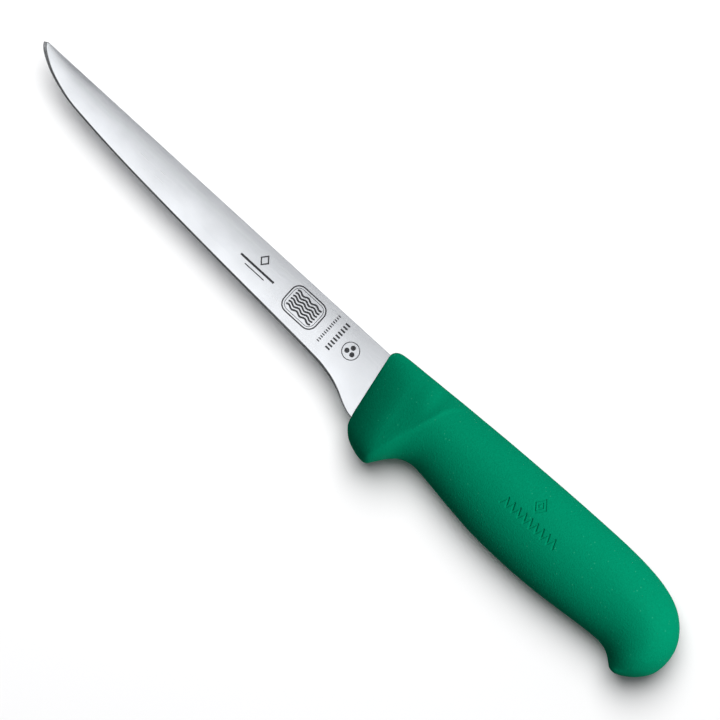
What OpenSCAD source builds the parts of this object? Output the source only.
// Boning knife lying on its side: a narrow flexible blade with a hidden tang,
// a hard core moulded onto the tang, and a textured grip moulded over the core.
//
// Knife frame used by the modules: x = 0 where the spine enters the handle, -x towards the tip,
// y = 0 on the spine with the cutting edge at -y, and z = 0 on the blade's middle plane.
// place() then centres the knife over the origin and rests its side on z = 0.

/* [Blade] */
// Length of the blade along the spine, from the tip to the handle
blade_len = 150; // [120:1:200]
// Depth of the blade at the handle
heel_depth = 22.4; // [18:0.1:27]
// Depth of the blade just in front of the flare at the heel
waist_depth = 17.2; // [13:0.1:18]
// Depth of the blade where the sweep up to the tip begins
sweep_depth = 10.4; // [8:0.1:12]
// Length of the sweep up to the tip
sweep_len = 24; // [18:1:32]
// Length over which the edge flares down to the heel
flare_len = 18; // [14:1:24]
// Thickness of the spine at the handle, which is the thickness of the sheet
spine_t = 1.8; // [1.4:0.1:2.6]
// Thickness of the spine at the tip
tip_t = 1.0; // [0.8:0.1:1.4]
// Thickness that the side grind leaves at the heel's lower corner
heel_edge_t = 0.2; // [0.1:0.05:0.4]
// Angle of each cutting bevel to the middle plane
bevel_angle = 20; // [14:1:25]
// Chamfer on the spine's two edges
spine_chamfer = 0.2; // [0.1:0.05:0.3]

/* [Tang] */
// Reach of the tang into the handle
tang_len = 92; // [60:1:112]
// Depth of the tang at the blade's shoulder
tang_root = 13; // [10:0.5:16]
// Depth of the tang at its end
tang_end = 8.5; // [7:0.5:12]
// Diameter of the holes that lock the core onto the tang
tang_hole_d = 5; // [3:0.5:6]
// Number of those holes
tang_holes = 3; // [1:1:4]

/* [Handle] */
// Length of the handle
handle_len = 132; // [108:1:160]
// Greatest thickness of the handle
handle_t = 21.2; // [17:0.2:26]
// Rise of the handle's back above the spine, at its highest
back_rise = 6.3; // [4:0.1:8]
// How far the finger guard reaches below the heel
guard_drop = 8.9; // [7:0.1:14]
// Depth of the index finger notch below the spine
notch_depth = 21.4; // [19:0.1:26]
// Depth of the belly below the spine
belly_depth = 25.1; // [22:0.1:30]
// Depth of the hook at the butt below the spine
hook_depth = 26.9; // [24:0.1:33]

/* [Core] */
// Least thickness of the grip moulded over the core
skin_t = 3; // [2:0.1:4]
// Length of core behind the tang's end
core_tail = 9; // [6:0.5:12]

/* [Hidden] */
$fn = 48;

edge_t = 0.04;                  // width left at the very edge
shoulder_x = 6.5;               // the blade's full depth ends here, inside the handle
heel_run = 1.2;                 // the edge drops this much more between the handle's front and the shoulder
tang_drop = 3.6;                // the tang's back lies this far below the spine
fillet = 1.5;                   // radius in the corners between shoulder and tang
land_gap = 0.5;                 // the ground sides end this far in front of the handle
land_sink = 0.02;               // and drop this much to the land that the mould closes on
bevel_reach = 2;                // width of the bevel cutter inside the edge
bevel_over = 1;                 // and outside it
nose_r = 11;                    // length of the rounding from the handle's front to its sides
nose_t = 1.3;                   // half thickness of the handle where the blade leaves it
ridge_x = 20.3;                 // the soft ridge behind the thumb rest crosses here, 18 mm below the spine
ridge_lean = 0.31;              // it leans back this much towards the spine
ridge_bend = 0.6;               // and by this much more close to the back
ridge_h = 9.7;                  // half thickness of the handle at the ridge
rest_slope = 0.28;              // the thumb rest falls away from the ridge to the blade by this slope
ridge_soft = 1.2;               // the ridge is rounded this far to either side
side_round = 0.7;               // the sections turn rounder to the sides than across the top by this
steps = 3;                      // stations between two rungs
ring = 15;                      // points on one side of a section, from back to belly
core_ring = 11;
core_stations = 26;
core_front = 7.5;               // the core starts this far behind the handle's front
// The handle's straight front, from its back to the heel
front_a = [0, -0.6];
front_b = [3.3, -heel_depth + 2.8];
front_dir = (front_b - front_a) / norm(front_b - front_a);

// ---------- curves ----------

function mix(a, b, t) = a + (b - a) * t;
function smooth(t) = t * t * (3 - 2 * t);
// Catmull-Rom through p1 and p2
function spline(p0, p1, p2, p3, t) =
    0.5 * (2 * p1 + (p2 - p0) * t + (2 * p0 - 5 * p1 + 4 * p2 - p3) * t * t
    + (3 * p1 - p0 - 3 * p2 + p3) * t * t * t);
function curve(keys, n) = let (last = len(keys) - 1) [
    for (i = [0 : last - 1], k = [0 : n - 1])
        spline(keys[max(i - 1, 0)], keys[i], keys[i + 1], keys[min(i + 2, last)], k / n),
    keys[last]
];
// A ramp that starts at 0, with the corner rounded over w to either side
function soft_ramp(r, w) = r > w ? r : r < -w ? 0 : (r + w) * (r + w) / 4 / w;

// ---------- blade ----------

// The cutting edge from the tip to the shoulder inside the handle
function edge_keys() = let (
    sweep = [[0, 0.08], [1, 0.215], [3, 0.365], [7, 0.58], [11, 0.73], [15, 0.845], [19, 0.935]],
    belly = [[0, 0], [0.14, 0.225], [0.32, 0.43], [0.6, 0.68], [0.85, 0.87]],
    flare = [[1, 0], [0.72, 0.115], [0.5, 0.285], [0.28, 0.555], [0.06, 0.9]]
) [
    for (p = sweep) [-blade_len + p[0] * sweep_len / 24, -sweep_depth * p[1]],
    for (p = belly) [mix(-blade_len + sweep_len, -flare_len, p[0]), -mix(sweep_depth, waist_depth, p[1])],
    for (p = flare) [-flare_len * p[0], -mix(waist_depth, heel_depth, p[1])],
    [2.5, -heel_depth - 0.6 * heel_run],
    [shoulder_x, -heel_depth - heel_run]
];
edge = curve(edge_keys(), 4);

// Half thickness that the side grind leaves: a plane through the spine and the heel's lower corner
grind_x = (spine_t - tip_t) / 2 / blade_len;
grind_y = (spine_t - heel_edge_t) / 2 / (heel_depth + heel_run);

// Middle line of the tang at its root and at its end, and the centre of its rounded end
tang_y = -tang_drop - tang_root / 2;
tang_end_y = tang_y + 0.5;
tang_end_x = tang_len - tang_end / 2;

function arc(centre, r, from, to, n) = [
    for (i = [0 : n]) let (a = mix(from, to, i / n)) centre + r * [cos(a), sin(a)]
];

// One sheet: straight spine, shoulder, tang with a rounded end, shoulder, cutting edge
module sheet_outline() {
    polygon([
        [-blade_len, -0.15], [-blade_len + 0.15, 0], [shoulder_x, 0],
        each arc([shoulder_x + fillet, -tang_drop + fillet], fillet, 180, 270, 4),
        each arc([tang_end_x, tang_end_y], tang_end / 2, 90, -90, 12),
        each arc([shoulder_x + fillet, -tang_drop - tang_root - fillet], fillet, 90, 180, 4),
        each [for (i = [len(edge) - 1 : -1 : 0]) edge[i]]
    ]);
}

// Removes what lies outside the ground side, and the chamfer on the spine
module side_cutter() {
    reach = blade_len + 20;
    end = shoulder_x - 2;
    size = sqrt(1 + grind_x * grind_x + grind_y * grind_y);
    lean = front_dir[0] / front_dir[1];
    low = -heel_depth - heel_run - 1;
    low_x = front_a[0] + lean * (low - front_a[1]) - land_gap;
    high_x = front_a[0] + lean * (1 - front_a[1]) - land_gap;
    translate([0, 0, spine_t / 2]) rotate([asin(grind_y / size), -atan(grind_x), 0]) {
        translate([-reach, -3 * heel_depth, 0]) cube([reach + end, 4 * heel_depth, 5]);
        translate([0, -spine_chamfer, 0]) rotate([-45, 0, 0])
            translate([-reach, -5, 0]) cube([reach + end, 10, 5]);
        translate([0, 0, -land_sink]) linear_extrude(1)
            polygon([[low_x, low], [end, low], [end, 1], [high_x, 1]]);
    }
}

// Removes what lies outside one cutting bevel: a four-sided bar swept along the edge
module bevel_cutter() {
    slope = tan(bevel_angle);
    path = [for (p = edge) if (p[0] < -0.5) p];
    last = len(path) - 1;
    ahead = [for (i = [0 : last]) let (d = path[min(i + 1, last)] - path[max(i - 1, 0)]) d / norm(d)];
    // one more ring before the tip, and one past the heel where the bevel runs out
    xy = [path[0] - 2 * ahead[0], each path, path[last] + 2.5 * ahead[last]];
    dir = [ahead[0], each ahead, ahead[last]];
    lift = [0, for (p = path) 0, 0.9];
    n = len(xy);
    points = [for (i = [0 : n - 1]) let (
        out = [dir[i][1], -dir[i][0]],
        a = xy[i] - out * bevel_reach,
        b = xy[i] + out * bevel_over,
        za = edge_t / 2 + slope * bevel_reach + lift[i],
        zb = edge_t / 2 - slope * bevel_over + lift[i]
    ) each [[a[0], a[1], za], [a[0], a[1], 4], [b[0], b[1], 4], [b[0], b[1], zb]]];
    polyhedron(points, tube_faces(n, 4));
}

// Triangles of a tube of n rings with m points each, closed by a flat face at both ends
function tube_faces(n, m) = [
    [for (j = [0 : m - 1]) j],
    for (i = [0 : n - 2], j = [0 : m - 1]) let (
        a = i * m + j, b = i * m + (j + 1) % m, c = a + m, d = b + m
    ) each [[a, c, d], [a, d, b]],
    [for (j = [m - 1 : -1 : 0]) (n - 1) * m + j]
];

module blade_solid() {
    difference() {
        translate([0, 0, -spine_t / 2]) linear_extrude(spine_t) sheet_outline();
        for (i = [1 : tang_holes]) let (t = i / (tang_holes + 1))
            translate([mix(shoulder_x, tang_len, t), mix(tang_y, tang_end_y, t), -spine_t])
                cylinder(d = tang_hole_d, h = 2 * spine_t);
        for (side = [0, 1]) mirror([0, 0, side]) {
            side_cutter();
            bevel_cutter();
        }
    }
}

// ---------- handle ----------

// Rungs across the handle: back point, belly point, half thickness, roundness of the section and
// how far down the rung it is thickest. Both ends are measured from the handle's own ends.
function rungs() = let (
    guard = heel_depth + guard_drop,
    full = handle_t / 2,
    e = handle_len,
    rear = 97
) [
    [0.0, -0.6, 3.3, -heel_depth + 2.8, full - 0.9, 3.4, 0.45],
    [0.1, 0.6, 3.9, -heel_depth - 0.2, full - 0.9, 3.4, 0.45],
    [0.9, 1.8, 5.1, -guard + 5.4, full - 0.9, 3.4, 0.45],
    [2.4, 2.6, 8.0, -guard + 2.5, full - 0.9, 3.4, 0.45],
    [5.0, 3.0, 12.0, -guard + 0.7, full - 0.9, 3.3, 0.45],
    [9.0, 3.25, 15.6, -guard, full - 0.9, 3.2, 0.45],
    [13.0, 3.45, 17.6, -guard + 0.4, full - 0.9, 3.1, 0.45],
    [17.0, 3.7, 19.2, -guard + 2.5, full - 0.85, 2.9, 0.45],
    [21.0, 3.9, 21.6, -mix(guard, notch_depth, 0.58), full - 0.85, 2.15, 0.45],
    [25.0, 4.15, 24.6, -mix(guard, notch_depth, 0.86), full - 0.9, 2.05, 0.45],
    [29.5, 4.4, 29.0, -notch_depth, full - 1.0, 2.0, 0.46],
    [36.0, 4.7, 36.0, -mix(notch_depth, belly_depth, 0.17), full - 1.0, 2.05, 0.46],
    [mix(36, e - 34, 0.16), mix(4.7, back_rise, 0.3), mix(36, e - rear + 60, 0.16),
        -mix(notch_depth, belly_depth, 0.53), full - 0.75, 2.1, 0.47],
    [mix(36, e - 34, 0.36), mix(4.7, back_rise, 0.58), mix(36, e - rear + 60, 0.37),
        -mix(notch_depth, belly_depth, 0.9), full - 0.3, 2.1, 0.47],
    [mix(36, e - 34, 0.58), mix(4.7, back_rise, 0.84), mix(36, e - rear + 60, 0.6), -belly_depth, full, 2.1, 0.47],
    [mix(36, e - 34, 0.8), back_rise - 0.02, mix(36, e - rear + 60, 0.82), -belly_depth + 0.4, full, 2.1, 0.47],
    [e - 34, back_rise, e - 37, -belly_depth + 1.35, full - 0.1, 2.1, 0.46],
    [e - 24, back_rise - 0.55, e - 29.5, -belly_depth + 2.1, full - 0.25, 2.0, 0.44],
    [e - 16, back_rise - 1.9, e - 24.5, -hook_depth + 4.3, full - 0.45, 1.95, 0.44],
    [e - 9.5, back_rise - 4.35, e - 21, -hook_depth + 4.3, full - 0.6, 1.95, 0.44],
    [e - 4.5, back_rise - 8.3, e - 18.8, -hook_depth + 4.0, full - 1.1, 1.95, 0.45],
    [e - 1.1, back_rise - 13.5, e - 17.1, -hook_depth + 3.4, full - 1.9, 1.95, 0.46],
    [e, back_rise - 19.3, e - 15.7, -hook_depth + 2.6, 0.71 * full, 1.95, 0.47],
    [e - 0.9, -hook_depth + 8.4, e - 14.5, -hook_depth + 1.65, 0.53 * full, 1.95, 0.48],
    [e - 3.8, -hook_depth + 4.2, e - 13.5, -hook_depth + 0.85, 0.35 * full, 1.95, 0.48],
    [e - 7.4, -hook_depth + 1.35, e - 12.7, -hook_depth + 0.3, 0.23 * full, 2.0, 0.5],
    [e - 10.1, -hook_depth + 0.1, e - 11.8, -hook_depth, 0.13 * full, 2.0, 0.5]
];
stations = curve(rungs(), steps);

// Distance behind the straight front of the handle
function behind_front(p) = (p - front_a) * [-front_dir[1], front_dir[0]];

// How far point p lies in front of the ridge, towards the blade
function ahead_of_ridge(p) =
    (ridge_x + ridge_lean * (p[1] + 18) + ridge_bend * soft_ramp(p[1] + 1, 2) - p[0]) / norm([1, ridge_lean]);

// Share of the thickness that the thumb rest leaves at point p
function rest_share(p) = 1 - rest_slope / ridge_h * soft_ramp(ahead_of_ridge(p), ridge_soft);

// Half thickness of the handle at point p of a section whose own half thickness there is h
function handle_height(p, h) = let (
    q = 1 - min(max(behind_front(p), 0) / nose_r, 1),
    whole = h * rest_share(p),
    lip = min(whole, nose_t)
) lip + (whole - lip) * pow(1 - q * q, 0.8);

// Superellipse: position along the rung from its thickest point (-1 to 1) and share of thickness
function lobe(a, n) = [sign(cos(a)) * pow(abs(cos(a)), 2 / n), pow(abs(sin(a)), 2 / n / side_round)];

function section(s, count) = let (
    back = [s[0], s[1]], belly = [s[2], s[3]], thick = mix(back, belly, s[6]),
    upper = [for (j = [0 : count - 1]) let (
        c = lobe(180 * j / (count - 1), s[5]),
        p = c[0] > 0 ? mix(thick, back, c[0]) : mix(thick, belly, -c[0]),
        h = (j == 0 || j == count - 1) ? 0 : handle_height(p, s[4] * c[1])
    ) [p[0], p[1], h]]
) [each upper, for (j = [count - 2 : -1 : 1]) [upper[j][0], upper[j][1], -upper[j][2]]];

handle_points = [for (s = stations) each section(s, ring)];

module handle_envelope() {
    polyhedron(handle_points, tube_faces(len(stations), 2 * ring - 2));
}

// ---------- core ----------

core_len = tang_len + core_tail - core_front;
back_at = [for (s = stations) if (s[0] > 0.9 && s[1] > back_rise - 14) [s[0], s[1]]];
belly_at = [for (s = stations) if (s[2] < handle_len - 13.2) [s[2], s[3]]];
thick_at = [for (s = stations) if (s[0] < handle_len - 0.2) [mix(s[0], s[2], s[6]), s[4]]];

// Upright section of the core at share t of its length, rounded off at both ends
function core_section(t) = let (
    x = core_front + core_len * t,
    near_end = min(1, min(t, 1 - t) * core_len / 8),
    round_off = sqrt(1 - pow(1 - mix(0.12, 1, near_end), 2)),
    back = lookup(x, back_at) - skin_t,
    belly = max(lookup(x, belly_at), -belly_depth) + skin_t,
    c = (back + belly) / 2,
    h = lookup(x, thick_at) * rest_share([x, c]) - skin_t
) [for (j = [0 : 2 * core_ring - 3]) let (
    a = 180 * j / (core_ring - 1), l = lobe(a, 2.1), side = a > 180 ? -1 : 1
) [x, c + (back - belly) / 2 * l[0] * mix(0.75, 1, round_off), side * h * l[1] * round_off]];

module core_envelope() {
    polyhedron([for (i = [0 : core_stations]) each core_section(i / core_stations)],
        tube_faces(core_stations + 1, 2 * core_ring - 2));
}

// ---------- nodes ----------

// Centres the knife's box over the origin and rests its lower side on z = 0
all_x = [for (p = handle_points) p[0]];
all_y = [for (p = handle_points) p[1]];
all_z = [for (p = handle_points) p[2]];
module place() {
    translate([(blade_len - max(all_x)) / 2, -(max(all_y) + min(all_y)) / 2, max(all_z)]) children();
}

// Blade and tang, stamped and ground from one steel sheet
module blade() {
    color("lightsteelblue") place() blade_solid();
}

// Hard core, shot onto the tang and through its holes
module handle_core() {
    color("darkslategray") place() difference() {
        core_envelope();
        blade_solid();
    }
}

// Textured grip, shot over the core and up to the blade
module handle_skin() {
    color("seagreen") place() difference() {
        handle_envelope();
        core_envelope();
        blade_solid();
    }
}

blade();
handle_core();
handle_skin();
